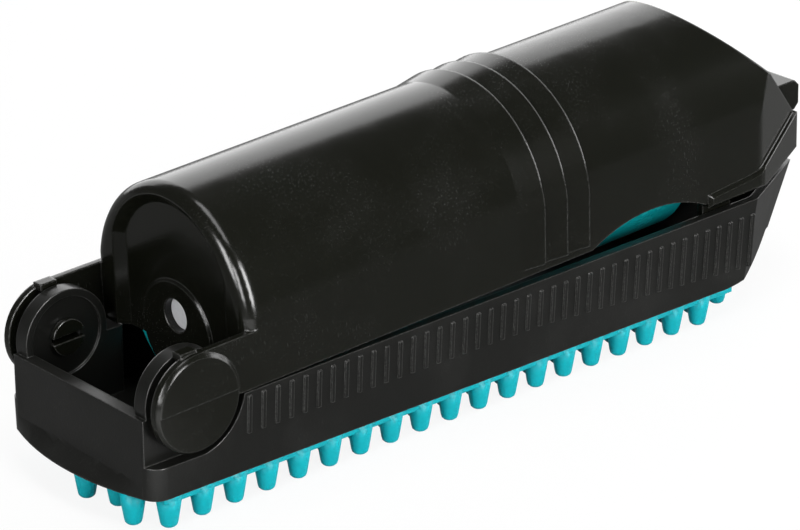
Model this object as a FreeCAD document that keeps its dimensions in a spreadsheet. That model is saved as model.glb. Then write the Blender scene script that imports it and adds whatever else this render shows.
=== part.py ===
import FreeCAD, Part
import math
import os
import Sketcher

# Folding lint roller: a ribbed tray with a nubbed rubber pad below it, and an
# arched cover hinged at its near end that carries a free-turning sticky roller.
# Lengths in millimetres, angles in degrees. The hinge line is x = 0, y = 0 is
# the middle plane, and heights start at the lower edge of the tray.

SIZES = {
    # Hinge line and resting position of the cover
    "hinge_height": 16.84,
    "cover_tilt": 2.3,
    # Tray outline and walls
    "base_half_width": 22.0,
    "side_draft": 2.5,
    "base_wall": 1.8,
    "base_floor": 2.2,
    "loft_height": 24.0,
    "transom_reach": 9.64,
    "transom_wall": 2.5,
    "transom_crease": 7.2,
    "bulge_reach": 3.0,
    "bulge_half_width": 18.3,
    "bulge_inset": 3.9,
    "corner_radius": 3.4,
    "side_end": 141.0,
    "side_end_draft": 0.126,
    "facet_angle": 26.0,
    "nose_reach": 161.0,
    "nose_lean": 42.4,
    "nose_height": 18.2,
    "keel_start": 133.4,
    "keel_radius": 22.0,
    "rim_near": 15.1,
    "rim_slope": 1.0,
    # Tray cavity towards the prow
    "cavity_front": 134.0,
    "cavity_facet": 0.6,
    "cavity_bend": 8.0,
    # Hinge ears and the side recesses that the arms swing in
    "ear_inner": 15.75,
    "ear_outer": 18.85,
    "ear_radius": 9.0,
    "ear_web": 1.8,
    "ear_dish_radius": 7.6,
    "ear_dish_depth": 0.5,
    "recess_radius": 10.7,
    "recess_floor": 6.3,
    # Grip ribs
    "rib_count": 41,
    "rib_first": 11.3,
    "rib_pitch": 3.203,
    "rib_width": 0.8,
    "rib_proud": 0.35,
    "rib_sunk": 0.6,
    "rib_top": 14.7,
    "rib_foot": 7.4,
    "rib_low_foot": 3.4,
    "rib_level_end": 82.0,
    # Catch ledges inside the tray
    "ledge_start": 125.0,
    "ledge_end": 138.0,
    "ledge_depth": 2.2,
    "ledge_thickness": 1.6,
    "ledge_gap": 0.3,
    # Brush pad
    "pad_thickness": 1.3,
    "pad_inset": 0.6,
    "pad_near": 10.6,
    "pad_far": 136.0,
    "pad_corner": 5.0,
    "nub_height": 5.3,
    "nub_root_radius": 2.45,
    "nub_tip_radius": 1.6,
    "nub_round": 0.7,
    "nub_pitch": 7.37,
    # Cover shell
    "cover_near": 11.7,
    "cover_wall": 1.8,
    "cover_foot": -1.5,
    "band_clear": 4.0,
    "cover_crease": 11.5,
    "arch_near_top": 30.1,
    "arch_far_top": 32.4,
    "cover_side_end": 141.5,
    "slope_start": 133.35,
    "slope_angle": 43.8,
    "near_round": 2.9,
    "facet_round": 5.0,
    # Bay for the roller and the bulkhead that carries its far end
    "end_wall": 1.8,
    "dish_depth": 1.6,
    "dish_half_width": 16.2,
    "dish_top": 28.6,
    "dish_crease": 16.7,
    "dish_draft": 2.2,
    "bulkhead_start": 128.2,
    "bulkhead_wall": 1.8,
    # Rim band round the far end
    "band_proud": 0.8,
    "band_start": 126.8,
    "band_foot": -2.5,
    "band_near_top": 0.2,
    "band_mid": 139.0,
    "band_mid_top": 1.0,
    "band_nose_top": 5.1,
    # Saw-tooth ridges
    "ridge_count": 3,
    "ridge_start": 76.6,
    "ridge_pitch": 5.75,
    "ridge_proud": 0.9,
    "ridge_foot": 0.1,
    # Finger cut-outs in the long edges
    "cutout_start": 95.5,
    "cutout_end": 126.0,
    "cutout_rise": 3.6,
    # Grip tab on the nose
    "tab_half_width": 8.5,
    "tab_front": 167.0,
    "tab_top": 9.5,
    "tab_foot": 3.2,
    "tab_round": 1.2,
    # Snap tabs that drop inside the tray walls
    "snap_start": 127.4,
    "snap_end": 135.2,
    "snap_outer": 19.9,
    "snap_wall": 1.5,
    "snap_foot": -6.0,
    "snap_root": 2.0,
    # Hinge arms, discs, collars and snap pins
    "arm_inner": 20.7,
    "arm_outer": 22.0,
    "disc_outer": 22.8,
    "disc_radius": 9.25,
    "disc_bevel": 0.7,
    "disc_step": 0.2,
    "collar_radius": 5.5,
    "collar_gap": 0.25,
    "pin_radius": 3.0,
    "pin_clearance": 0.05,
    "pin_lip": 0.5,
    "pin_lip_length": 1.0,
    "pin_slot": 1.2,
    "stop_start": -2.6,
    "stop_end": 1.0,
    "stop_foot": 8.6,
    "stop_top": 9.8,
    "stop_root": 0.6,
    # Boss and axle hole of the end wall
    "boss_radius": 10.0,
    "boss_height": 1.8,
    "boss_proud": 0.5,
    "boss_bevel": 0.4,
    "bearing_length": 0.7,
    "bearing_wall": 2.0,
    # Roller
    "roller_height": 5.1,
    "roller_near": 16.1,
    "roller_far": 126.6,
    "sleeve_radius": 17.1,
    "sleeve_wall": 3.5,
    "sleeve_clearance": 0.05,
    "core_wall": 2.0,
    "core_end": 2.2,
    "journal_radius": 3.2,
    "journal_clearance": 0.05,
    "journal_inset": 1.6,
    "cap_lip": 1.4,
    "cap_skirt": 8.0,
    "cap_skirt_wall": 1.6,
    "cap_clearance": 0.05,
}

doc = FreeCAD.newDocument("LintRoller")
sheet = doc.addObject("Spreadsheet::Sheet", "Sizes")
for row, (alias, amount) in enumerate(SIZES.items(), start=1):
    sheet.set(f"A{row}", alias)
    sheet.set(f"B{row}", str(amount))
    sheet.setAlias(f"B{row}", alias)
doc.recompute()


class Size:
    # A number that also knows the spreadsheet expression it comes from.

    def __init__(self, value, text):
        self.value = value
        self.text = text

    def __add__(self, other):
        other = as_size(other)
        return Size(self.value + other.value, f"({self.text} + {other.text})")

    def __sub__(self, other):
        other = as_size(other)
        return Size(self.value - other.value, f"({self.text} - {other.text})")

    def __mul__(self, other):
        other = as_size(other)
        return Size(self.value * other.value, f"({self.text} * {other.text})")

    def __truediv__(self, other):
        other = as_size(other)
        return Size(self.value / other.value, f"({self.text} / {other.text})")

    def __radd__(self, other):
        return as_size(other) + self

    def __rsub__(self, other):
        return as_size(other) - self

    def __rmul__(self, other):
        return as_size(other) * self

    def __neg__(self):
        return Size(-self.value, f"(-1 * {self.text})")


def as_size(number):
    return number if isinstance(number, Size) else Size(float(number), f"({float(number)})")


def tangent(angle):
    return Size(math.tan(math.radians(angle.value)), f"tan({angle.text})")


def cosine(angle):
    return Size(math.cos(math.radians(angle.value)), f"cos({angle.text})")


def sine(angle):
    return Size(math.sin(math.radians(angle.value)), f"sin({angle.text})")


def root(number):
    return Size(math.sqrt(number.value), f"sqrt({number.text})")


class Named:
    # One attribute for each named size of the sheet.

    def __init__(self, table):
        for name, amount in table.items():
            setattr(self, name, Size(float(amount), f"Sizes.{name}"))


n = Named(SIZES)
zero = as_size(0.0)
# How far cutting outlines pass the material; neither shapes anything
far_out = as_size(60.0)
over_cut = as_size(1.0)


# Helpers for bodies, sketches and features

def bind(thing, field, size):
    setattr(thing, field, size.value)
    thing.setExpression(field, size.text)


def new_body(name):
    body = doc.addObject("PartDesign::Body", name)
    body.Label = name
    return body


def draw_on(body, name, role, offset=zero, turn=None):
    drawing = body.newObject("Sketcher::SketchObject", name)
    plane = next(item for item in body.Origin.OriginFeatures if item.Role == role)
    drawing.AttachmentSupport = [(plane, "")]
    drawing.MapMode = "FlatFace"
    rotation = FreeCAD.Rotation()
    if turn is not None:
        rotation = FreeCAD.Rotation(FreeCAD.Vector(1, 0, 0), turn.value)
    drawing.AttachmentOffset = FreeCAD.Placement(FreeCAD.Vector(0, 0, offset.value), rotation)
    drawing.setExpression("AttachmentOffset.Base.z", offset.text)
    return drawing


def arc_between(start, end, radius, side):
    # The short arc from start to end that bulges to the right (side 1) or left (-1).
    chord = end - start
    sag = radius - math.sqrt(max(radius ** 2 - (chord.Length / 2) ** 2, 0.0))
    across = FreeCAD.Vector(chord.y, -chord.x, 0).normalize() * side
    return Part.Arc(start, (start + end) * 0.5 + across * sag, end)


def outline(drawing, corners, arcs=None):
    # A closed wire through the corners, fully held by sheet expressions. arcs
    # maps a corner's index to the (radius, side) of the arc that leaves it.
    arcs = arcs or {}
    points = [FreeCAD.Vector(x.value, y.value, 0) for x, y in corners]
    count = len(points)
    first = drawing.GeometryCount
    for index, point in enumerate(points):
        target = points[(index + 1) % count]
        if index in arcs:
            radius, side = arcs[index]
            drawing.addGeometry(arc_between(point, target, radius.value, side), False)
        else:
            drawing.addGeometry(Part.LineSegment(point, target), False)
    starts = []
    for index, point in enumerate(points):
        begins = (drawing.getPoint(first + index, 1) - point).Length < 1e-6
        starts.append(1 if begins else 2)
    rules = []
    texts = []
    for index, (x, y) in enumerate(corners):
        previous = (index - 1) % count
        rules.append(Sketcher.Constraint("Coincident", first + previous, 3 - starts[previous],
                                         first + index, starts[index]))
        texts.append(None)
        rules.append(Sketcher.Constraint("DistanceX", -1, 1, first + index, starts[index], x.value))
        texts.append(x.text)
        rules.append(Sketcher.Constraint("DistanceY", -1, 1, first + index, starts[index], y.value))
        texts.append(y.text)
        if index in arcs:
            rules.append(Sketcher.Constraint("Radius", first + index, arcs[index][0].value))
            texts.append(arcs[index][0].text)
    base = drawing.ConstraintCount
    drawing.addConstraint(rules)
    for index, text in enumerate(texts):
        if text is not None:
            drawing.setExpression(f"Constraints[{base + index}]", text)


def circle(drawing, x, y, radius):
    index = drawing.addGeometry(
        Part.Circle(FreeCAD.Vector(x.value, y.value, 0), FreeCAD.Vector(0, 0, 1), radius.value), False)
    for kind, size in (("DistanceX", x), ("DistanceY", y)):
        rule = drawing.addConstraint(Sketcher.Constraint(kind, -1, 1, index, 3, size.value))
        drawing.setExpression(f"Constraints[{rule}]", size.text)
    rule = drawing.addConstraint(Sketcher.Constraint("Radius", index, radius.value))
    drawing.setExpression(f"Constraints[{rule}]", radius.text)


def loft(body, name, sections, kind="AdditiveLoft"):
    before = body.Shape.Volume if kind == "SubtractiveLoft" else None
    feature = body.newObject(f"PartDesign::{kind}", name)
    feature.Profile = sections[0]
    feature.Sections = sections[1:]
    feature.Ruled = True
    settle(body, name, before)


def pad(body, name, drawing, length, reverse=False, both_ways=False):
    feature = body.newObject("PartDesign::Pad", name)
    feature.Profile = drawing
    bind(feature, "Length", length)
    feature.Reversed = reverse
    feature.SideType = "Symmetric" if both_ways else "One side"
    settle(body, name)


def pocket(body, name, drawing, length, reverse=False, both_ways=False):
    before = body.Shape.Volume
    feature = body.newObject("PartDesign::Pocket", name)
    feature.Profile = drawing
    bind(feature, "Length", length)
    feature.Reversed = reverse
    feature.SideType = "Symmetric" if both_ways else "One side"
    settle(body, name, before)


def revolve(body, name, drawing):
    feature = body.newObject("PartDesign::Revolution", name)
    feature.Profile = drawing
    feature.ReferenceAxis = (drawing, ["H_Axis"])
    feature.Angle = 360.0
    settle(body, name)


def edge_work(body, name, kind, field, size, chosen):
    # A fillet or chamfer on every edge of the tip that the test accepts.
    names = [f"Edge{index + 1}" for index, edge in enumerate(body.Shape.Edges) if chosen(edge)]
    if not names:
        raise RuntimeError(f"{name} found no edge")
    previous = body.Tip
    feature = body.newObject(f"PartDesign::{kind}", name)
    feature.Base = (previous, names)
    bind(feature, field, size)
    settle(body, name)


def lies_at(edge, axis, size):
    # True where both ends and the middle of the edge have this coordinate.
    box = edge.BoundBox
    low, high = {"x": (box.XMin, box.XMax), "y": (box.YMin, box.YMax), "z": (box.ZMin, box.ZMax)}[axis]
    return abs(low - size.value) < 0.01 and abs(high - size.value) < 0.01


def settle(body, name, before=None):
    doc.recompute()
    shape = body.Shape
    if "Invalid" in body.Tip.State or shape.isNull() or not shape.isValid():
        raise RuntimeError(f"{name} left no valid shape")
    if before is not None and shape.Volume > before - 1e-3:
        raise RuntimeError(f"{name} removed nothing")


def place(body, shift, lift, tilt=None):
    # Stands a finished body in the part's frame, the cover's bodies at its tilt.
    turn = FreeCAD.Rotation()
    if tilt is not None:
        turn = FreeCAD.Rotation(FreeCAD.Vector(0, -1, 0), tilt.value)
    body.Placement = FreeCAD.Placement(FreeCAD.Vector(shift.value, 0, lift.value), turn)
    body.setExpression("Placement.Base.x", shift.text)
    body.setExpression("Placement.Base.z", lift.text)


# Shared outlines

tan_facet = tangent(n.facet_angle)
tan_lean = tangent(n.nose_lean)


def tray_half_width(level):
    return n.base_half_width - (n.nose_height - level) * tangent(n.side_draft)


def tray_side_end(level):
    return n.side_end - (n.nose_height - level) * n.side_end_draft


def tray_nose(level):
    return n.nose_reach - (n.nose_height - level) * tan_lean


def mirrored(half):
    # The corners of one side, then the same corners on the other side.
    return half + [(x, -y) for x, y in reversed(half)]


def tray_corners(level):
    width = tray_half_width(level)
    end = tray_side_end(level)
    nose = tray_nose(level)
    return mirrored([
        (-n.transom_reach, -(width - n.corner_radius)),
        (n.corner_radius - n.transom_reach, -width),
        (end, -width),
        (nose, -(width - (nose - end) * tan_facet)),
    ])


def cavity_corners(level, nose=None, facet=None):
    width = tray_half_width(level) - n.base_wall
    if nose is None:
        end = tray_side_end(level) - n.base_wall * tangent(n.facet_angle / 2)
        nose = tray_nose(level) - n.base_wall / cosine(n.nose_lean)
        nose_width = width - (nose - end) * tan_facet
    else:
        end = nose - facet
        nose_width = width - facet * tan_facet
    step = n.recess_radius + n.ear_web
    return mirrored([
        (n.transom_wall - n.transom_reach, -n.ear_inner),
        (step, -n.ear_inner),
        (step, -width),
        (end, -width),
        (nose, -nose_width),
    ])


def rim_level(station):
    return n.rim_near + (station + n.transom_reach) * tangent(n.rim_slope)


# Tray with the hinge ears

def make_handle_base():
    body = new_body("handle_base")

    # Outer hull: drafted sides, leaning front and two plan facets at the prow
    lower = draw_on(body, "HullFoot", "XY_Plane")
    outline(lower, tray_corners(zero), {0: (n.corner_radius, 1), 6: (n.corner_radius, 1)})
    upper = draw_on(body, "HullTop", "XY_Plane", n.loft_height)
    outline(upper, tray_corners(n.loft_height), {0: (n.corner_radius, 1), 6: (n.corner_radius, 1)})
    loft(body, "Hull", [lower, upper])

    # Bulge of the near end below a curved crease
    chord = n.bulge_half_width
    lower_arc = (chord * chord + n.bulge_reach * n.bulge_reach) / (2 * n.bulge_reach)
    upper_arc = (chord * chord + n.bulge_inset * n.bulge_inset) / (2 * n.bulge_inset)
    lower = draw_on(body, "BulgeFoot", "XY_Plane")
    outline(lower, [(n.transom_wall, chord), (-n.transom_reach, chord),
                    (-n.transom_reach, -chord), (n.transom_wall, -chord)], {1: (lower_arc, 1)})
    upper = draw_on(body, "BulgeTop", "XY_Plane", n.transom_crease)
    outline(upper, [(n.transom_wall, chord), (-n.transom_reach, chord),
                    (-n.transom_reach, -chord), (n.transom_wall, -chord)], {1: (upper_arc, -1)})
    loft(body, "Bulge", [lower, upper])

    # Open tray, stepped in between the ears and kept thick above the keel curve
    floor = draw_on(body, "CavityFloor", "XY_Plane", n.base_floor)
    outline(floor, cavity_corners(n.base_floor, n.cavity_front, n.cavity_facet))
    bend = draw_on(body, "CavityBend", "XY_Plane", n.cavity_bend)
    outline(bend, cavity_corners(n.cavity_bend))
    top = draw_on(body, "CavityTop", "XY_Plane", n.loft_height + over_cut)
    outline(top, cavity_corners(n.loft_height + over_cut))
    loft(body, "Cavity", [floor, bend, top], "SubtractiveLoft")

    # Sloping rim
    rim = draw_on(body, "RimLine", "XZ_Plane")
    start = -far_out
    finish = n.nose_reach + far_out
    outline(rim, [(start, rim_level(start)), (finish, rim_level(finish)),
                  (finish, n.loft_height + far_out), (start, n.loft_height + far_out)])
    pocket(body, "Rim", rim, 4 * n.base_half_width, both_ways=True)

    # Keel curve that lifts the bottom into the leaning front
    keel = draw_on(body, "KeelLine", "XZ_Plane")
    end_x = n.keel_start + n.keel_radius * cosine(n.nose_lean)
    end_z = n.keel_radius * (1 - sine(n.nose_lean))
    outline(keel, [(n.keel_start, zero), (end_x, end_z), (end_x + far_out, end_z),
                   (end_x + far_out, -n.loft_height), (n.keel_start, -n.loft_height)],
            {0: (n.keel_radius, 1)})
    pocket(body, "Keel", keel, 4 * n.base_half_width, both_ways=True)

    # Side recesses for the arms, open towards the near end
    drop = n.hinge_height - n.recess_floor
    run = root(n.recess_radius * n.recess_radius - drop * drop)
    for name, side in (("Near", 1), ("Far", -1)):
        recess = draw_on(body, f"RecessLine{name}", "XZ_Plane", side * n.ear_outer)
        outline(recess, [(run, n.recess_floor), (n.recess_radius, n.hinge_height),
                         (n.recess_radius, n.loft_height + far_out), (-far_out, n.loft_height + far_out),
                         (-far_out, n.recess_floor)], {0: (n.recess_radius, 1)})
        pocket(body, f"Recess{name}", recess, n.base_half_width, reverse=(side == 1))

    # Ears, each dished on its inner face and bored for the snap pin
    thickness = n.ear_outer - n.ear_inner
    for name, side in (("Near", 1), ("Far", -1)):
        ear = draw_on(body, f"EarLine{name}", "XZ_Plane", side * n.ear_inner)
        circle(ear, zero, n.hinge_height, n.ear_radius)
        pad(body, f"Ear{name}", ear, thickness, reverse=(side == -1))
        dish = draw_on(body, f"DishLine{name}", "XZ_Plane", side * n.ear_inner)
        circle(dish, zero, n.hinge_height, n.ear_dish_radius)
        pocket(body, f"Dish{name}", dish, n.ear_dish_depth, reverse=(side == 1))
    bore = draw_on(body, "PinBoreLine", "XZ_Plane")
    circle(bore, zero, n.hinge_height, n.pin_radius + n.pin_clearance)
    pocket(body, "PinBore", bore, 3 * n.base_half_width, both_ways=True)

    # Grip ribs on both drafted sides: a row of equal ribs, then one cut outside
    # the wall takes their feet back to a line that falls towards the prow
    for name, side in (("Near", 1), ("Far", -1)):
        wall_plane = side * tray_half_width(zero)
        rib_line = draw_on(body, f"RibLine{name}", "XZ_Plane", wall_plane - side * n.rib_sunk,
                           turn=side * n.side_draft)
        outline(rib_line, [(n.rib_first, n.rib_low_foot), (n.rib_first + n.rib_width, n.rib_low_foot),
                           (n.rib_first + n.rib_width, n.rib_top), (n.rib_first, n.rib_top)])
        pad(body, f"Rib{name}", rib_line, n.rib_sunk + n.rib_proud, reverse=(side == -1))
        rib = body.Tip
        row = body.newObject("PartDesign::LinearPattern", f"RibRow{name}")
        row.Originals = [rib]
        row.Direction = (rib_line, ["H_Axis"])
        row.Occurrences = SIZES["rib_count"]
        bind(row, "Length", n.rib_pitch * (SIZES["rib_count"] - 1))
        body.Tip = row
        settle(body, f"RibRow{name}")
        foot_line = draw_on(body, f"RibFootLine{name}", "XZ_Plane", wall_plane, turn=side * n.side_draft)
        outline(foot_line, [(n.rib_first - n.rib_pitch, -n.rib_top), (n.side_end, -n.rib_top),
                            (n.side_end, n.rib_low_foot), (n.rib_level_end, n.rib_foot),
                            (n.rib_first - n.rib_pitch, n.rib_foot)])
        pocket(body, f"RibFeet{name}", foot_line, n.rib_proud + over_cut, reverse=(side == 1))

    # Ledges that the cover's snap tabs stop on
    reach = tray_half_width(n.rim_near) - n.base_wall / 2
    for name, side in (("Near", 1), ("Far", -1)):
        ledge = draw_on(body, f"LedgeLine{name}", "XZ_Plane", side * (reach - n.ledge_depth))
        stop_z = tab_stop_level()
        under_z = stop_z - n.ledge_thickness
        outline(ledge, [(n.ledge_start, under_z), (n.ledge_end, under_z),
                        (n.ledge_end, stop_z), (n.ledge_start, stop_z)])
        pad(body, f"Ledge{name}", ledge, n.ledge_depth, reverse=(side == -1))
    return body


def tab_stop_level():
    # Height of the ledges: just below the lowest corner of the closed snap tabs.
    tab_level = n.hinge_height + n.snap_start * sine(n.cover_tilt) + n.snap_foot * cosine(n.cover_tilt)
    return tab_level - n.ledge_gap


# Rubber pad with its rows of nubs

# Distance across, first nub and number of nubs of each row, staggered as moulded
NUB_ROWS = (
    (0.0, -8.2, 20),
    (-6.2, -5.9, 20),
    (6.2, -2.2, 19),
    (-13.8, -8.4, 21),
    (13.8, -1.5, 19),
    (-18.7, -4.3, 19),
    (18.7, 0.5, 18),
)


def make_brush_pad():
    body = new_body("brush_pad")
    width = tray_half_width(zero) - n.pad_inset
    near = -n.pad_near
    sheet_line = draw_on(body, "SheetLine", "XY_Plane")
    outline(sheet_line, mirrored([
        (near, -(width - n.pad_corner)),
        (near + n.pad_corner, -width),
        (n.pad_far, -width),
        (n.pad_far + n.pad_corner, -(width - n.pad_corner)),
    ]), {0: (n.pad_corner, 1), 6: (n.pad_corner, 1)})
    pad(body, "Sheet", sheet_line, n.pad_thickness, reverse=True)

    # The far end thickens to fill the space under the keel curve
    fill_end = n.pad_far + n.pad_corner / 2
    run = fill_end - n.keel_start
    rise = n.keel_radius - root(n.keel_radius * n.keel_radius - run * run)
    fill = draw_on(body, "KeelFillLine", "XZ_Plane")
    outline(fill, [(n.keel_start, -n.pad_thickness / 2), (fill_end, -n.pad_thickness / 2), (fill_end, rise),
                   (n.keel_start, zero)], {2: (n.keel_radius, -1)})
    pad(body, "KeelFill", fill, 2 * (width - n.pad_corner), both_ways=True)

    # One nub is revolved once, and every other nub is a copy of it along its row
    tip = -n.pad_thickness - n.nub_height
    for step, (across, first, count) in enumerate(NUB_ROWS, start=1):
        nub_line = draw_on(body, f"NubLine{step}", "XZ_Plane", as_size(-across))
        middle = as_size(first)
        outline(nub_line, [
            (middle, -n.pad_thickness / 2),
            (middle, tip),
            (middle + n.nub_tip_radius - n.nub_round, tip),
            (middle + n.nub_tip_radius, tip + n.nub_round),
            (middle + n.nub_root_radius, -n.pad_thickness / 2),
        ])
        nub = body.newObject("PartDesign::Revolution", f"Nub{step}")
        nub.Profile = nub_line
        nub.ReferenceAxis = (nub_line, ["Edge1"])
        nub.Angle = 360.0
        settle(body, f"Nub{step}")
        row = body.newObject("PartDesign::LinearPattern", f"NubRow{step}")
        row.Originals = [nub]
        row.Direction = (sheet_line, ["H_Axis"])
        row.Occurrences = count
        bind(row, "Length", n.nub_pitch * (count - 1))
        body.Tip = row
        settle(body, f"NubRow{step}")
    return body


# Cover shell, drawn in its own frame with the hinge line as origin

def arch_radius(half, rise):
    return (half * half + rise * rise) / (2 * rise)


def arch_section(body, name, station, half, top, foot, crease):
    drawing = draw_on(body, name, "YZ_Plane", station)
    outline(drawing, [(half, foot), (half, crease), (-half, crease), (-half, foot)],
            {1: (arch_radius(half, top - crease), 1)})
    return drawing


def arch_top(station):
    climb = (n.arch_far_top - n.arch_near_top) / (n.nose_reach - n.cover_near)
    return n.arch_near_top + (station - n.cover_near) * climb


def slope_level(station):
    return arch_top(n.slope_start) - (station - n.slope_start) * tangent(n.slope_angle)


def cover_facet_width(station):
    return n.base_half_width - (station - n.cover_side_end) * tan_facet


def cut_prow(body, name, proud):
    # Trims everything outside the plan facets and the nose face.
    line = draw_on(body, f"{name}Line", "XY_Plane")
    end = n.cover_side_end + proud * tangent(n.facet_angle / 2)
    nose = n.nose_reach + proud
    start_width = n.base_half_width + proud
    nose_width = start_width - (nose - end) * tan_facet
    beyond = nose + far_out
    outline(line, [(end, -start_width), (end, -far_out), (beyond, -far_out), (beyond, far_out),
                   (end, far_out), (end, start_width), (nose, nose_width), (nose, -nose_width)])
    pocket(body, name, line, 3 * far_out, both_ways=True)


def make_roller_cover():
    body = new_body("roller_cover")
    half = n.base_half_width

    # Arched hull that climbs a little towards the nose, cut by the front slope
    near = arch_section(body, "HullNear", n.cover_near, half, n.arch_near_top, n.cover_foot, n.cover_crease)
    stretch = n.nose_reach + 2 * over_cut
    far = arch_section(body, "HullFar", stretch, half, arch_top(stretch), n.cover_foot, n.cover_crease)
    loft(body, "ArchHull", [near, far])
    slope = draw_on(body, "SlopeLine", "XZ_Plane")
    beyond = n.nose_reach + far_out
    outline(slope, [(n.slope_start, slope_level(n.slope_start)), (beyond, slope_level(beyond)),
                    (beyond, 2 * far_out), (n.slope_start, 2 * far_out)])
    pocket(body, "Slope", slope, 4 * half, both_ways=True)
    cut_prow(body, "Prow", zero)
    edge_work(body, "NearRound", "Fillet", "Radius", n.near_round,
              lambda edge: lies_at(edge, "x", n.cover_near) and not lies_at(edge, "z", n.cover_foot))
    edge_work(body, "FacetRound", "Fillet", "Radius", n.facet_round,
              lambda edge: lies_at(edge, "x", n.cover_side_end))

    # Proud rim band round the far end
    band = draw_on(body, "BandLine", "XZ_Plane")
    band_nose = n.nose_reach + n.band_proud
    outline(band, [(n.band_start, n.band_foot), (band_nose, n.band_foot), (band_nose, n.band_nose_top),
                   (n.band_mid, n.band_mid_top), (n.band_start, n.band_near_top)])
    pad(body, "Band", band, 2 * (half + n.band_proud), both_ways=True)
    cut_prow(body, "BandProw", n.band_proud)

    # Saw-tooth ridges over the arch
    for index in range(SIZES["ridge_count"]):
        start = n.ridge_start + n.ridge_pitch * index
        end = start + n.ridge_pitch
        low = arch_section(body, f"RidgeLow{index}", start, half, arch_top(start), n.ridge_foot,
                           n.cover_crease)
        high = arch_section(body, f"RidgeHigh{index}", end, half + n.ridge_proud,
                            arch_top(end) + n.ridge_proud, n.ridge_foot, n.cover_crease)
        loft(body, f"Ridge{index}", [low, high])

    # End wall dished inside a plain rim, with a round boss that hangs below it
    below = n.cover_foot - n.band_clear
    wall_face = n.cover_near + n.dish_depth
    inner_face = wall_face + n.end_wall
    boss_face = wall_face - n.boss_proud
    edge = arch_section(body, "DishEdge", n.cover_near, n.dish_half_width, n.dish_top, below,
                        n.dish_crease)
    bed = arch_section(body, "DishBed", wall_face, n.dish_half_width - n.dish_draft,
                       n.dish_top - n.dish_draft, below, n.dish_crease)
    loft(body, "Dish", [edge, bed], "SubtractiveLoft")
    boss = draw_on(body, "BossLine", "YZ_Plane", boss_face)
    circle(boss, zero, n.boss_height, n.boss_radius)
    pad(body, "Boss", boss, n.boss_proud + n.end_wall)
    edge_work(body, "BossBevel", "Chamfer", "Size", n.boss_bevel,
              lambda edge: lies_at(edge, "x", boss_face))

    # Roller bay, and the smaller hollow under the slope beyond the bulkhead
    wall = n.cover_wall
    sections = []
    for name, station in (("BayNear", inner_face), ("BayFar", n.bulkhead_start)):
        sections.append(arch_section(body, name, station, half - wall, arch_top(station) - wall,
                                     below, n.cover_crease))
    loft(body, "Bay", sections, "SubtractiveLoft")
    start = n.bulkhead_start + n.bulkhead_wall
    middle = n.cover_side_end
    finish = n.nose_reach - wall
    drop = wall / cosine(n.slope_angle)
    sections = [
        arch_section(body, "NoseNear", start, half - wall, arch_top(start) - drop, below, n.cover_crease),
        arch_section(body, "NoseMiddle", middle, half - wall - wall * tangent(n.facet_angle / 2),
                     slope_level(middle) - drop, below, n.cover_crease),
        arch_section(body, "NoseFar", finish, cover_facet_width(finish) - wall / cosine(n.facet_angle),
                     slope_level(finish) - drop, below, slope_level(finish) - 2 * drop),
    ]
    loft(body, "NoseHollow", sections, "SubtractiveLoft")

    # Finger cut-outs through both long walls
    cutout = draw_on(body, "CutoutLine", "XZ_Plane")
    rise = n.cutout_rise
    chord = (n.cutout_end - n.cutout_start) / 2
    outline(cutout, [(n.cutout_end, n.cover_foot), (n.cutout_start, n.cover_foot),
                     (n.cutout_start, below), (n.cutout_end, below)],
            {0: ((chord * chord + rise * rise) / (2 * rise), 1)})
    pocket(body, "Cutout", cutout, 4 * half, both_ways=True)

    # Bearings: a short sleeve behind the end wall and the bulkhead's bore
    bearing = draw_on(body, "BearingLine", "YZ_Plane", wall_face)
    circle(bearing, zero, n.roller_height, n.journal_radius + n.journal_clearance + n.bearing_wall)
    pad(body, "Bearing", bearing, n.end_wall + n.bearing_length)
    hole = draw_on(body, "AxleHoleLine", "YZ_Plane")
    circle(hole, zero, n.roller_height, n.journal_radius + n.journal_clearance)
    pocket(body, "AxleHole", hole, n.bulkhead_start + n.bulkhead_wall + over_cut, reverse=True)

    # Arms, discs, collars and snap pins of the hinge, one set on each side
    reach = n.cover_near + n.near_round + n.end_wall
    for name, side in (("Near", 1), ("Far", -1)):
        outward = side == -1
        arm = draw_on(body, f"ArmLine{name}", "XZ_Plane", side * n.arm_inner)
        outline(arm, [(zero, n.cover_foot), (reach, n.cover_foot), (reach, n.disc_radius),
                      (zero, n.disc_radius)])
        pad(body, f"Arm{name}", arm, n.arm_outer - n.arm_inner, reverse=outward)
        disc = draw_on(body, f"DiscLine{name}", "XZ_Plane", side * n.arm_inner)
        circle(disc, zero, zero, n.disc_radius)
        pad(body, f"Disc{name}", disc, n.disc_outer - n.arm_inner, reverse=outward)
        edge_work(body, f"DiscBevel{name}", "Chamfer", "Size", n.disc_bevel,
                  lambda edge: lies_at(edge, "y", -side * n.disc_outer))
        # Below the parting line the disc's face stands a little lower
        parting = draw_on(body, f"PartingLine{name}", "XZ_Plane", side * n.disc_outer)
        beside = 2 * n.disc_radius
        outline(parting, [(-beside, zero), (beside, zero), (beside, -beside), (-beside, -beside)])
        pocket(body, f"Parting{name}", parting, n.disc_step, reverse=(side == -1))
        collar = draw_on(body, f"CollarLine{name}", "XZ_Plane", side * (n.ear_outer + n.collar_gap))
        circle(collar, zero, zero, n.collar_radius)
        pad(body, f"Collar{name}", collar, n.arm_inner - n.ear_outer - n.collar_gap, reverse=outward)
        stop = draw_on(body, f"StopLine{name}", "XZ_Plane", side * (n.ear_outer + n.collar_gap))
        outline(stop, [(n.stop_start, n.stop_foot), (n.stop_end, n.stop_foot),
                       (n.stop_end, n.stop_top), (n.stop_start, n.stop_top)])
        pad(body, f"Stop{name}", stop, n.arm_inner - n.ear_outer - n.collar_gap + n.stop_root,
            reverse=outward)
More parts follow.
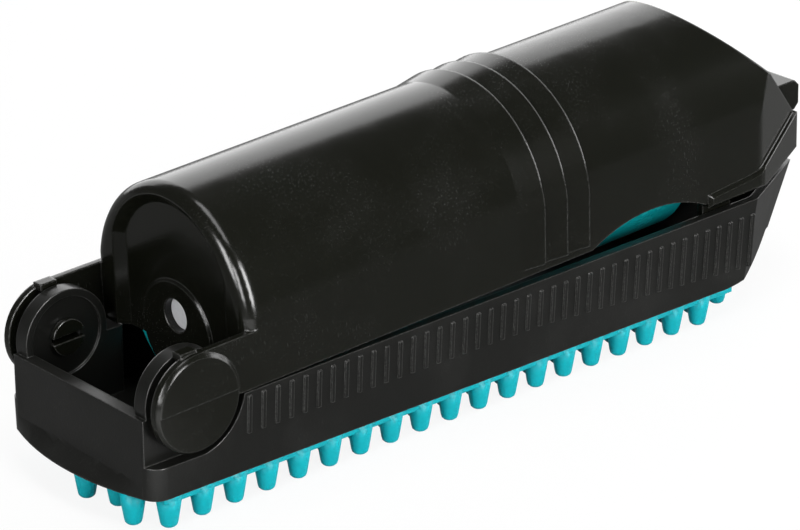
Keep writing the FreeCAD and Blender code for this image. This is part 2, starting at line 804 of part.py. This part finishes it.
        # The pin ends in a lip behind the ear's dish, split by a slot
        dish_face = n.ear_inner + n.ear_dish_depth
        pin_end = dish_face - n.collar_gap - n.pin_lip_length
        pin = draw_on(body, f"PinLine{name}", "XZ_Plane", side * pin_end)
        circle(pin, zero, zero, n.pin_radius)
        pad(body, f"Pin{name}", pin, n.arm_inner - pin_end, reverse=outward)
        lip = draw_on(body, f"LipLine{name}", "XZ_Plane", side * pin_end)
        circle(lip, zero, zero, n.pin_radius + n.pin_lip)
        pad(body, f"Lip{name}", lip, n.pin_lip_length, reverse=outward)
        slot = draw_on(body, f"SlotLine{name}", "XZ_Plane", side * pin_end)
        outline(slot, [(-n.disc_radius, -n.pin_slot / 2), (n.disc_radius, -n.pin_slot / 2),
                       (n.disc_radius, n.pin_slot / 2), (-n.disc_radius, n.pin_slot / 2)])
        pocket(body, f"Slot{name}", slot, n.ear_outer - pin_end, reverse=(side == 1))

    # Snap tabs inside the long walls
    for name, side in (("Near", 1), ("Far", -1)):
        snap = draw_on(body, f"SnapLine{name}", "XZ_Plane", side * (n.snap_outer - n.snap_wall))
        outline(snap, [(n.snap_start, n.snap_foot), (n.snap_end, n.snap_foot),
                       (n.snap_end, n.snap_root), (n.snap_start, n.snap_root)])
        pad(body, f"Snap{name}", snap, n.snap_wall, reverse=(side == -1))
        root_line = draw_on(body, f"SnapRootLine{name}", "XZ_Plane", side * (n.snap_outer - n.snap_wall))
        outline(root_line, [(n.snap_start, n.band_foot), (n.snap_end, n.band_foot),
                            (n.snap_end, n.snap_root), (n.snap_start, n.snap_root)])
        pad(body, f"SnapRoot{name}", root_line, half - n.snap_outer + n.snap_wall, reverse=(side == -1))

    # Grip tab on the nose
    tab = draw_on(body, "TabLine", "XZ_Plane")
    top_root = n.slope_start + (arch_top(n.slope_start) - n.tab_top) / tangent(n.slope_angle) - wall / 2
    outline(tab, [(n.nose_reach - wall / 2, n.tab_foot), (n.tab_front - n.tab_round, n.tab_foot),
                  (n.tab_front, n.tab_foot + n.tab_round), (n.tab_front, n.tab_top - n.tab_round),
                  (n.tab_front - n.tab_round, n.tab_top), (top_root, n.tab_top)])
    pad(body, "Tab", tab, 2 * n.tab_half_width, both_ways=True)
    return body


# Roller: sleeve, core with the near journal, and the far end cap

def core_radius():
    return n.sleeve_radius - n.sleeve_wall - n.sleeve_clearance


def make_roller_sleeve():
    body = new_body("roller_sleeve")
    line = draw_on(body, "SleeveLine", "XZ_Plane")
    bore = n.sleeve_radius - n.sleeve_wall
    outline(line, [(n.roller_near, bore), (n.roller_far, bore), (n.roller_far, n.sleeve_radius),
                   (n.roller_near, n.sleeve_radius)])
    revolve(body, "Sleeve", line)
    return body


def make_roller_core():
    body = new_body("roller_core")
    line = draw_on(body, "CoreLine", "XZ_Plane")
    outer = core_radius()
    bore = outer - n.core_wall
    tip = n.cover_near + n.dish_depth - n.boss_proud + n.journal_inset
    outline(line, [(tip, zero), (n.roller_near + n.core_end, zero), (n.roller_near + n.core_end, bore),
                   (n.roller_far, bore), (n.roller_far, outer), (n.roller_near, outer),
                   (n.roller_near, n.journal_radius), (tip, n.journal_radius)])
    revolve(body, "Core", line)
    return body


def make_roller_end_cap():
    body = new_body("roller_end_cap")
    line = draw_on(body, "CapLine", "XZ_Plane")
    outer = core_radius() - n.core_wall - n.cap_clearance
    inner = outer - n.cap_skirt_wall
    face = n.roller_far + n.cap_lip
    tip = n.bulkhead_start + n.bulkhead_wall
    outline(line, [(face - 2 * n.cap_lip, zero), (tip, zero), (tip, n.journal_radius),
                   (face, n.journal_radius), (face, core_radius()), (n.roller_far, core_radius()),
                   (n.roller_far, outer), (n.roller_far - n.cap_skirt, outer),
                   (n.roller_far - n.cap_skirt, inner), (face - 2 * n.cap_lip, inner)])
    revolve(body, "Cap", line)
    return body


# Assembly in the part's frame: origin under the middle of the bounding box

base = make_handle_base()
brush = make_brush_pad()
cover = make_roller_cover()
sleeve = make_roller_sleeve()
core = make_roller_core()
cap = make_roller_end_cap()

front = n.tab_front * cosine(n.cover_tilt) - (n.tab_foot + n.tab_round) * sine(n.cover_tilt)
shift = (n.transom_reach + n.bulge_reach - front) / 2
lift = n.pad_thickness + n.nub_height
hinge_lift = lift + n.hinge_height
place(base, shift, lift)
place(brush, shift, lift)
place(cover, shift, hinge_lift, n.cover_tilt)
axis_shift = shift - n.roller_height * sine(n.cover_tilt)
axis_lift = hinge_lift + n.roller_height * cosine(n.cover_tilt)
for piece in (sleeve, core, cap):
    place(piece, axis_shift, axis_lift, n.cover_tilt)
doc.recompute()

for thing in doc.Objects:
    if "Invalid" in thing.State or "Error" in thing.State:
        raise RuntimeError(f"{thing.Name} is {thing.State}")

pieces = [base, brush, cover, sleeve, core, cap]
os.makedirs("parts", exist_ok=True)
for piece in pieces:
    shape = piece.Shape
    if shape.isNull() or not shape.isValid() or len(shape.Solids) != 1:
        raise RuntimeError(f"{piece.Label} is not one valid solid")
for piece in pieces:
    piece.Shape.exportStep(f"parts/{piece.Label}.step")
    print(piece.Label, [round(v, 2) for v in (piece.Shape.BoundBox.XMin, piece.Shape.BoundBox.XMax,
                                              piece.Shape.BoundBox.YMin, piece.Shape.BoundBox.YMax,
                                              piece.Shape.BoundBox.ZMin, piece.Shape.BoundBox.ZMax)])
print("hinge at", round(shift.value, 3), round(hinge_lift.value, 3))
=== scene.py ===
from math import cos, radians, sin

import bmesh
import bpy
from mathutils import Matrix, Vector


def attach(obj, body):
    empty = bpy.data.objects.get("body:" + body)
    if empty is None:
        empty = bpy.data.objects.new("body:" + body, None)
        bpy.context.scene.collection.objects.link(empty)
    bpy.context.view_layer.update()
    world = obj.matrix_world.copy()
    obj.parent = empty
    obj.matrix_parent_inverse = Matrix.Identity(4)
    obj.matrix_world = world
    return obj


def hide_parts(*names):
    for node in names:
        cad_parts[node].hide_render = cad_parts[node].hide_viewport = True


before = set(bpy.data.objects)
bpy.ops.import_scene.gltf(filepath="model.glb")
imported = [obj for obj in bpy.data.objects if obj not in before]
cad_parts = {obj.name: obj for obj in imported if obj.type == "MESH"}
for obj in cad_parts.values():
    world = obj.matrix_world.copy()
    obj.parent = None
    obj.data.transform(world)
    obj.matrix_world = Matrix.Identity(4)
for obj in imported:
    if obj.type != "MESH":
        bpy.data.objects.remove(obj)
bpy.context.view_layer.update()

# Folding lint roller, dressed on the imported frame. Metres, +X towards the grip tab.

bpy.context.scene.view_settings.view_transform = "Standard"


# Camera, at the photograph's angle

cameraSetup = {
    "place": (-0.41518, -0.45515, 0.28179),
    "azimuth": -41.617,      # degrees, 0 looks along +Y
    "elevation": 22.956,
    "roll": 0.177,
    "lens": 157.88,          # mm
    "sensor": 36,            # mm
    "nearest": 0.01,
    "farthest": 20,
}


def makeCamera(setup):
    turn = radians(setup["azimuth"])
    lift = radians(setup["elevation"])
    lean = radians(setup["roll"])
    back = Vector((sin(turn) * cos(lift), -cos(turn) * cos(lift), sin(lift)))
    side = Vector((0, 0, 1)).cross(back).normalized()
    rise = back.cross(side)
    right = side * cos(lean) + rise * sin(lean)
    upward = rise * cos(lean) - side * sin(lean)
    camera = bpy.data.objects.new("camera", bpy.data.cameras.new("camera"))
    camera.data.lens = setup["lens"]
    camera.data.sensor_width = setup["sensor"]
    camera.data.clip_start = setup["nearest"]
    camera.data.clip_end = setup["farthest"]
    matrix = Matrix((right, upward, back)).transposed().to_4x4()
    matrix.translation = Vector(setup["place"])
    camera.matrix_world = matrix
    bpy.context.scene.collection.objects.link(camera)
    bpy.context.scene.camera = camera


makeCamera(cameraSetup)
print("camera ready")


# Shader helpers

def addNode(tree, kind, inputs=None, **settings):
    node = tree.nodes.new(kind)
    for key, value in settings.items():
        setattr(node, key, value)
    for key, value in (inputs or {}).items():
        node.inputs[key].default_value = value
    return node


def link(tree, source, target):
    tree.links.new(source, target)


def calculate(tree, operation, *terms, clamped=False):
    node = addNode(tree, "ShaderNodeMath", operation=operation, use_clamp=clamped)
    for place, term in enumerate(terms):
        if isinstance(term, bpy.types.NodeSocket):
            link(tree, term, node.inputs[place])
        else:
            node.inputs[place].default_value = term
    return node.outputs[0]


def remap(tree, value, reach=(0, 1), result=(0, 1), **settings):
    node = addNode(tree, "ShaderNodeMapRange", {
        "From Min": reach[0], "From Max": reach[1], "To Min": result[0], "To Max": result[1],
    }, **settings)
    link(tree, value, node.inputs["Value"])
    return node.outputs["Result"]


def blendColors(tree, factor, first, second):
    mix = addNode(tree, "ShaderNodeMix", data_type="RGBA")
    mix.inputs["A"].default_value = (*first, 1)
    mix.inputs["B"].default_value = (*second, 1)
    link(tree, factor, mix.inputs["Factor"])
    return mix.outputs["Result"]


def blendShaders(tree, factor, first, second):
    mix = addNode(tree, "ShaderNodeMixShader")
    for place, source in enumerate((factor, first, second)):
        link(tree, source, mix.inputs[place])
    return mix.outputs[0]


def newGroup(name, inputs, outputs):
    group = bpy.data.node_groups.new(name, "ShaderNodeTree")
    for label, kind, value in inputs:
        socket = group.interface.new_socket(label, in_out="INPUT", socket_type=kind)
        socket.default_value = value
    for label, kind in outputs:
        group.interface.new_socket(label, in_out="OUTPUT", socket_type=kind)
    return group, group.nodes.new("NodeGroupInput"), group.nodes.new("NodeGroupOutput")


def useGroup(tree, group, coords, values):
    node = tree.nodes.new("ShaderNodeGroup")
    node.node_tree = group
    link(tree, coords, node.inputs["Vector"])
    for key, value in values.items():
        node.inputs[key].default_value = value
    return node


# Handling marks: thin strokes and specks at random, gathered in patches

handlingMarks = {
    "strokes": (             # turn, length and width of each layer, in radians and metres
        ((0.3, 0.2, 0.9), 0.0050, 0.00055),
        ((1.1, 0.6, 2.3), 0.0034, 0.00050),
        ((2.0, 1.4, 0.2), 0.0042, 0.00060),
        ((0.7, 2.2, 1.4), 0.0009, 0.00070),      # nearly round: specks
    ),
    "strokeEdge": (0.05, 0.17),      # full inside the first, gone past the second, as shares of a cell
    "patchNoise": {"Scale": 42.0, "Detail": 4.0, "Roughness": 0.62},
    "patchEdge": (0.47, 0.72),
    "outsidePatches": 0.05,
}


def makeScratches(values):
    group, source, result = newGroup("fineScratches", [
        ("Vector", "NodeSocketVector", (0, 0, 0)),
        ("Density", "NodeSocketFloat", 1.0),
        ("Patchiness", "NodeSocketFloat", 0.5),
    ], [("Scratches", "NodeSocketFloat"), ("Haze", "NodeSocketFloat")])
    wide = addNode(group, "ShaderNodeTexNoise", values["patchNoise"])
    link(group, source.outputs["Vector"], wide.inputs["Vector"])
    haze = remap(group, wide.outputs["Fac"], values["patchEdge"])
    total = None
    for turn, length, width in values["strokes"]:
        spin = addNode(group, "ShaderNodeMapping", {"Rotation": turn, "Scale": (length, width, width)},
                       vector_type="TEXTURE")
        link(group, source.outputs["Vector"], spin.inputs["Vector"])
        cells = addNode(group, "ShaderNodeTexVoronoi", {"Scale": 1.0, "Randomness": 1.0})
        link(group, spin.outputs["Vector"], cells.inputs["Vector"])
        thin = remap(group, cells.outputs["Distance"], values["strokeEdge"], (1, 0))
        total = calculate(group, "MAXIMUM", total, thin) if total else thin
    patchy = addNode(group, "ShaderNodeMix", {"A": 1.0})
    link(group, source.outputs["Patchiness"], patchy.inputs["Factor"])
    link(group, calculate(group, "ADD", haze, values["outsidePatches"]), patchy.inputs["B"])
    scratched = calculate(group, "MULTIPLY", total, patchy.outputs["Result"])
    strong = calculate(group, "MULTIPLY", scratched, source.outputs["Density"], clamped=True)
    link(group, strong, result.inputs["Scratches"])
    link(group, haze, result.inputs["Haze"])
    return group


# Moulded skin: a fine pebble with a slow waviness below it

skinNoise = {
    "fine": {"Detail": 2.0, "Roughness": 0.6},
    "wave": {"Detail": 1.0, "Roughness": 0.5},
}


def makeGrain(values):
    group, source, result = newGroup("mouldedSkin", [
        ("Vector", "NodeSocketVector", (0, 0, 0)),
        ("Fine Scale", "NodeSocketFloat", 1800.0),
        ("Fine Share", "NodeSocketFloat", 0.3),
        ("Wave Scale", "NodeSocketFloat", 120.0),
    ], [("Height", "NodeSocketFloat"), ("Speckle", "NodeSocketFloat")])
    fine = addNode(group, "ShaderNodeTexNoise", values["fine"])
    wave = addNode(group, "ShaderNodeTexNoise", values["wave"])
    for noise, scale in ((fine, "Fine Scale"), (wave, "Wave Scale")):
        link(group, source.outputs["Vector"], noise.inputs["Vector"])
        link(group, source.outputs[scale], noise.inputs["Scale"])
    mix = addNode(group, "ShaderNodeMix")
    link(group, source.outputs["Fine Share"], mix.inputs["Factor"])
    link(group, wave.outputs["Fac"], mix.inputs["A"])
    link(group, fine.outputs["Fac"], mix.inputs["B"])
    link(group, mix.outputs["Result"], result.inputs["Height"])
    link(group, fine.outputs["Fac"], result.inputs["Speckle"])
    return group


scratchGroup = makeScratches(handlingMarks)
grainGroup = makeGrain(skinNoise)


# Materials

edgeRubAndSheen = {
    "turned": (0.98, 0.84),          # cosine to the rounded direction, from plain to fully paled by rubbing and painted highlight
    "speckle": (0.4, 0.62),
    "leastShare": 0.25,
}

bumpDepth = 0.0002


def startMaterial(values):
    material = bpy.data.materials.new(values["name"])
    material.use_nodes = True
    tree = material.node_tree
    shader = tree.nodes["Principled BSDF"]
    shader.inputs["Specular IOR Level"].default_value = values["specular"]
    coords = tree.nodes.new("ShaderNodeTexCoord").outputs["Object"]
    scratches = useGroup(tree, scratchGroup, coords, {
        "Density": values["scratches"], "Patchiness": values["patchiness"],
    })
    grain = useGroup(tree, grainGroup, coords, {
        "Fine Scale": values["grainScale"], "Fine Share": values["grainShare"],
        "Wave Scale": values["waveScale"],
    })
    return material, tree, shader, scratches.outputs, grain.outputs


def roundEdges(tree, values):
    # The surface's direction with its mould edges softly rounded
    edges = addNode(tree, "ShaderNodeBevel", {"Radius": values["edgeRound"]}, samples=8)
    return edges.outputs["Normal"]


def edgeWearAndSheen(tree, rounded, speckle, values):
    # Paler edges, partly real rubbing and partly a painted highlight along the mould edges: strong where the
    # rounded direction leaves the true one, broken up by the skin
    surface = tree.nodes.new("ShaderNodeNewGeometry")
    dot = addNode(tree, "ShaderNodeVectorMath", operation="DOT_PRODUCT")
    link(tree, rounded, dot.inputs[0])
    link(tree, surface.outputs["Normal"], dot.inputs[1])
    wornAndSheen = remap(tree, dot.outputs["Value"], values["turned"])
    broken = remap(tree, speckle, values["speckle"], (values["leastShare"], 1))
    return calculate(tree, "MULTIPLY", wornAndSheen, broken)


def roundedBump(tree, shader, height, rounded, values):
    bump = addNode(tree, "ShaderNodeBump", {"Strength": values["bump"], "Distance": bumpDepth})
    link(tree, height, bump.inputs["Height"])
    link(tree, rounded, bump.inputs["Normal"])
    link(tree, bump.outputs["Normal"], shader.inputs["Normal"])


def makeBlackPlastic(values):
    material, tree, shader, scratches, grain = startMaterial(values)
    dust = calculate(tree, "MULTIPLY", scratches["Scratches"], values["scratchPaleness"])
    hazy = calculate(tree, "MULTIPLY_ADD", scratches["Haze"], values["haze"], dust)
    rounded = roundEdges(tree, values)
    # Edges paled in the colour: partly rubbed wear, partly a painted highlight
    rubbedAndSheen = calculate(tree, "MULTIPLY", edgeWearAndSheen(tree, rounded, grain["Speckle"], edgeRubAndSheen),
                       values["edgeWearAndSheenShare"])
    paler = calculate(tree, "MAXIMUM", hazy, rubbedAndSheen, clamped=True)
    link(tree, blendColors(tree, paler, values["color"], values["scuffAndSheenColor"]), shader.inputs["Base Color"])
    rough = remap(tree, scratches["Haze"], result=values["roughness"])
    rougher = calculate(tree, "MULTIPLY_ADD", scratches["Scratches"], values["scratchRoughness"], rough)
    link(tree, rougher, shader.inputs["Roughness"])
    height = calculate(tree, "MULTIPLY_ADD", scratches["Scratches"], -values["scratchDepth"], grain["Height"])
    roundedBump(tree, shader, height, rounded, values)
    return material


def makeRubber(values):
    material, tree, shader, scratches, grain = startMaterial(values)
    shade = remap(tree, grain["Speckle"], values["speckle"])
    link(tree, blendColors(tree, shade, values["color"], values["paleColor"]), shader.inputs["Base Color"])
    link(tree, remap(tree, scratches["Haze"], result=values["roughness"]), shader.inputs["Roughness"])
    roundedBump(tree, shader, grain["Height"], roundEdges(tree, values), values)
    return material


coverBlack = {
    "name": "coverBlack",
    "color": (0.0050, 0.0054, 0.0034),
    "scuffAndSheenColor": (0.11, 0.11, 0.105),
    "roughness": (0.17, 0.24),
    "scratches": 1.0,
    "patchiness": 0.8,
    "scratchPaleness": 0.22,
    "scratchRoughness": 0.18,
    "scratchDepth": 0.25,
    "haze": 0.02,
    # how pale the edges get, partly rubbed wear and partly a painted highlight
    "edgeWearAndSheenShare": 0.5,
    "grainScale": 2400.0,
    "grainShare": 0.35,
    "waveScale": 160.0,
    "bump": 0.08,
    "specular": 0.3,
    "edgeRound": 0.0006,     # metres
}

baseBlack = {
    "name": "baseBlack",
    "color": (0.0072, 0.0074, 0.0064),
    "scuffAndSheenColor": (0.11, 0.11, 0.105),
    "roughness": (0.28, 0.38),
    "scratches": 0.7,
    "patchiness": 0.8,
    "scratchPaleness": 0.3,
    "scratchRoughness": 0.18,
    "scratchDepth": 0.25,
    "haze": 0.04,
    # how pale the edges get, partly rubbed wear and partly a painted highlight
    "edgeWearAndSheenShare": 0.6,
    "grainScale": 2600.0,
    "grainShare": 0.6,
    "waveScale": 140.0,
    "bump": 0.15,
    "specular": 0.3,
    "edgeRound": 0.0004,
}

nubTeal = {
    "name": "nubTeal",
    "color": (0.0004, 0.375, 0.435),
    "paleColor": (0.0008, 0.42, 0.485),
    "speckle": (0.3, 0.7),
    "roughness": (0.42, 0.55),
    "scratches": 0.4,
    "patchiness": 0.6,
    "grainScale": 1500.0,
    "grainShare": 0.4,
    "waveScale": 200.0,
    "bump": 0.1,
    "specular": 0.15,
    "edgeRound": 0.0006,
}

sleeveTeal = {
    "name": "sleeveTeal",
    "color": (0.004, 0.40, 0.43),
    "paleColor": (0.006, 0.45, 0.48),
    "speckle": (0.3, 0.7),
    "roughness": (0.22, 0.32),
    "scratches": 0.4,
    "patchiness": 0.6,
    "grainScale": 1200.0,
    "grainShare": 0.4,
    "waveScale": 120.0,
    "bump": 0.08,
    "specular": 0.5,
    "edgeRound": 0.0004,
}

coreWhite = {
    "name": "coreWhite",
    "color": (0.70, 0.71, 0.73),
    "paleColor": (0.76, 0.77, 0.79),
    "speckle": (0.3, 0.7),
    "roughness": (0.38, 0.5),
    "scratches": 0.4,
    "patchiness": 0.6,
    "grainScale": 1600.0,
    "grainShare": 0.4,
    "waveScale": 150.0,
    "bump": 0.1,
    "specular": 0.4,
    "edgeRound": 0.0003,
}

materials = {
    "roller_cover": makeBlackPlastic(coverBlack),
    "handle_base": makeBlackPlastic(baseBlack),
    "brush_pad": makeRubber(nubTeal),
    "roller_sleeve": makeRubber(sleeveTeal),
    "roller_core": makeRubber(coreWhite),
}
materials["roller_end_cap"] = materials["roller_core"]
print("materials ready")


# Carried-over moulded pieces

for nodeName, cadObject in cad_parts.items():
    for slot in cadObject.material_slots:
        slot.material = materials[nodeName]
print("frame dressed")


# Rubber pad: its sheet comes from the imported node, its nubs are made with rounded tips

brushPad = {
    "rows": (                # distance across, first nub and count of each row, from the hinge line, mm
        (0.0, -8.2, 20), (-6.2, -5.9, 20), (6.2, -2.2, 19), (-13.8, -8.4, 21),
        (13.8, -1.5, 19), (-18.7, -4.3, 19), (18.7, 0.5, 18),
    ),
    "pitch": 7.37,
    "hinge": -77.024,        # X of the hinge line, mm
    "sheetFoot": 5.3,        # height of the sheet's underside, mm
    "nearEdge": -83.6,       # the sheet's near edge is drawn back under the tray to here, mm
    "profile": (             # radius and height along one nub, from root to tip, mm
        (0.0, 6.58), (2.55, 6.58), (2.03, 3.2), (1.66, 0.95), (1.5, 0.42), (1.15, 0.1), (0.0, 0.0),
    ),
    "sides": 16,
    "sharpAngle": 50,
    "mergeReach": 1e-6,      # metres
    "footSlack": 2e-5,       # metres
}


def addNub(mesh, place, values):
    # Rings about the nub's axis, which close to one point at the root and at the tip
    sides = values["sides"]
    rings = []
    for radius, height in values["profile"]:
        count = sides if radius else 1
        angles = [radians(360) * step / count for step in range(count)]
        rings.append([
            mesh.verts.new((place + Vector((radius * cos(angle), radius * sin(angle), height))) / 1000)
            for angle in angles
        ])
    for upper, lower in zip(rings, rings[1:]):
        for step in range(sides):
            here, there = step, (step + 1) % sides
            corners = [upper[here % len(upper)], lower[here % len(lower)],
                       lower[there % len(lower)], upper[there % len(upper)]]
            mesh.faces.new(list(dict.fromkeys(corners)))


def makeBrushPad(values):
    mesh = bmesh.new()
    mesh.from_mesh(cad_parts["brush_pad"].data)
    bmesh.ops.remove_doubles(mesh, verts=mesh.verts, dist=values["mergeReach"])
    foot = values["sheetFoot"] / 1000 - values["footSlack"]
    bmesh.ops.delete(mesh, geom=[vert for vert in mesh.verts if vert.co.z < foot], context="VERTS")
    for vert in mesh.verts:
        vert.co.x = max(vert.co.x, values["nearEdge"] / 1000)
    for across, start, count in values["rows"]:
        for step in range(count):
            addNub(mesh, Vector((values["hinge"] + start + step * values["pitch"], across, 0)), values)
    result = bpy.data.meshes.new("brushPad")
    mesh.to_mesh(result)
    mesh.free()
    piece = bpy.data.objects.new("brushPad", result)
    bpy.context.scene.collection.objects.link(piece)
    result.materials.clear()
    result.materials.append(materials["brush_pad"])
    result.polygons.foreach_set("material_index", [0] * len(result.polygons))
    result.polygons.foreach_set("use_smooth", [True] * len(result.polygons))
    result.set_sharp_from_angle(angle=radians(values["sharpAngle"]))
    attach(piece, "base")
    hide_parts("brush_pad")


makeBrushPad(brushPad)
print("brush pad made")


# Floor, backdrop and soft studio light

studio = {
    "floorHalfWidth": 4.0,
    "floorColor": (0.86, 0.86, 0.86),
    "floorGlow": 0.9,        # share of plain white that the camera sees in the floor
    "floorInGloss": 0.25,    # what the shiny plastic sees of the floor
    "paintedPoolInGloss": 2.2,      # and of a painted pool of light by the near corner, seen only in reflections
    "paintedPoolPlace": (-0.125, -0.09, 0),
    "paintedPoolReach": (0.035, 0.085),
    "worldLight": 0.12,
}

# place, aim, width, height and power of each soft lamp
softboxes = {
    "backdropCard": ((0.62, 0.70, 0.36), (0, 0, 0.03), 2.2, 0.75, 12.0),
    "overheadSoftbox": ((-0.04, -0.10, 0.90), (0, 0, 0), 0.26, 0.80, 4.4),
    "leftSoftbox": ((-0.86, -0.22, 0.36), (-0.05, 0, 0.03), 0.24, 0.60, 3.2),
    "frontSoftbox": ((-0.03, -0.86, 0.36), (0, 0, 0.02), 0.25, 0.66, 5.0),
    "rightSoftbox": ((0.95, -0.32, 0.27), (0, 0, 0.03), 0.50, 0.60, 5.5),
}

# the same for the cards that show in the gloss of rounded edges and add no light of their own
glossCards = {
    "cornerCard": ((-0.80, -0.53, 0.24), (-0.07, 0, 0.03), 0.20, 0.45, 5.5),
    "leftCard": ((-0.88, -0.24, 0.37), (-0.05, 0, 0.03), 0.22, 0.45, 5.0),
    "frontCard": ((-0.03, -0.88, 0.37), (0, 0, 0.02), 0.34, 0.60, 12.0),
}


def makeFloor(values):
    mesh = bmesh.new()
    bmesh.ops.create_grid(mesh, x_segments=1, y_segments=1, size=values["floorHalfWidth"])
    data = bpy.data.meshes.new("floor")
    mesh.to_mesh(data)
    mesh.free()
    floor = bpy.data.objects.new("floor", data)
    bpy.context.scene.collection.objects.link(floor)
    material = bpy.data.materials.new("floorPaper")
    material.use_nodes = True
    tree = material.node_tree
    tree.nodes.remove(tree.nodes["Principled BSDF"])
    paper = addNode(tree, "ShaderNodeBsdfDiffuse", {"Color": (*values["floorColor"], 1)})
    glow = addNode(tree, "ShaderNodeEmission", {"Strength": 1.0})
    coords = tree.nodes.new("ShaderNodeTexCoord")
    # Painted pool of light: in reflections the floor glows brighter round a point by the near corner, which
    # puts a painted highlight on the tray's near corner
    apart = addNode(tree, "ShaderNodeVectorMath", {1: values["paintedPoolPlace"]}, operation="DISTANCE")
    link(tree, coords.outputs["Object"], apart.inputs[0])
    paintedPool = remap(tree, apart.outputs["Value"], values["paintedPoolReach"],
                 (values["paintedPoolInGloss"], values["floorInGloss"]), interpolation_type="SMOOTHSTEP")
    dim = addNode(tree, "ShaderNodeEmission")
    link(tree, paintedPool, dim.inputs["Strength"])
    seen = addNode(tree, "ShaderNodeLightPath")
    share = calculate(tree, "MULTIPLY", seen.outputs["Is Camera Ray"], values["floorGlow"])
    white = blendShaders(tree, share, paper.outputs[0], glow.outputs[0])
    surface = blendShaders(tree, seen.outputs["Is Glossy Ray"], white, dim.outputs[0])
    link(tree, surface, tree.nodes["Material Output"].inputs["Surface"])
    data.materials.append(material)


def makeWorld(values):
    world = bpy.data.worlds.new("studioWorld")
    bpy.context.scene.world = world
    world.use_nodes = True
    tree = world.node_tree
    plain = tree.nodes["Background"]
    plain.inputs["Color"].default_value = (1, 1, 1, 1)
    plain.inputs["Strength"].default_value = values["worldLight"]
    white = addNode(tree, "ShaderNodeBackground", {"Color": (1, 1, 1, 1), "Strength": 1.0})
    seen = addNode(tree, "ShaderNodeLightPath")
    surface = blendShaders(tree, seen.outputs["Is Camera Ray"], plain.outputs[0], white.outputs[0])
    link(tree, surface, tree.nodes["World Output"].inputs["Surface"])


def makeLamp(name, place, target, width, depth, power, lightsAll):
    lamp = bpy.data.lights.new(name, "AREA")
    lamp.shape = "RECTANGLE"
    lamp.size = width
    lamp.size_y = depth
    lamp.energy = power
    holder = bpy.data.objects.new(name, lamp)
    aim = (Vector(target) - Vector(place)).to_track_quat("-Z", "Y")
    holder.matrix_world = Matrix.Translation(Vector(place)) @ aim.to_matrix().to_4x4()
    holder.visible_camera = False
    holder.visible_diffuse = lightsAll
    bpy.context.scene.collection.objects.link(holder)


makeFloor(studio)
makeWorld(studio)
for lamps, lightsAll in ((softboxes, True), (glossCards, False)):
    for lampName, lampValues in lamps.items():
        makeLamp(lampName, *lampValues, lightsAll)
print("studio ready")
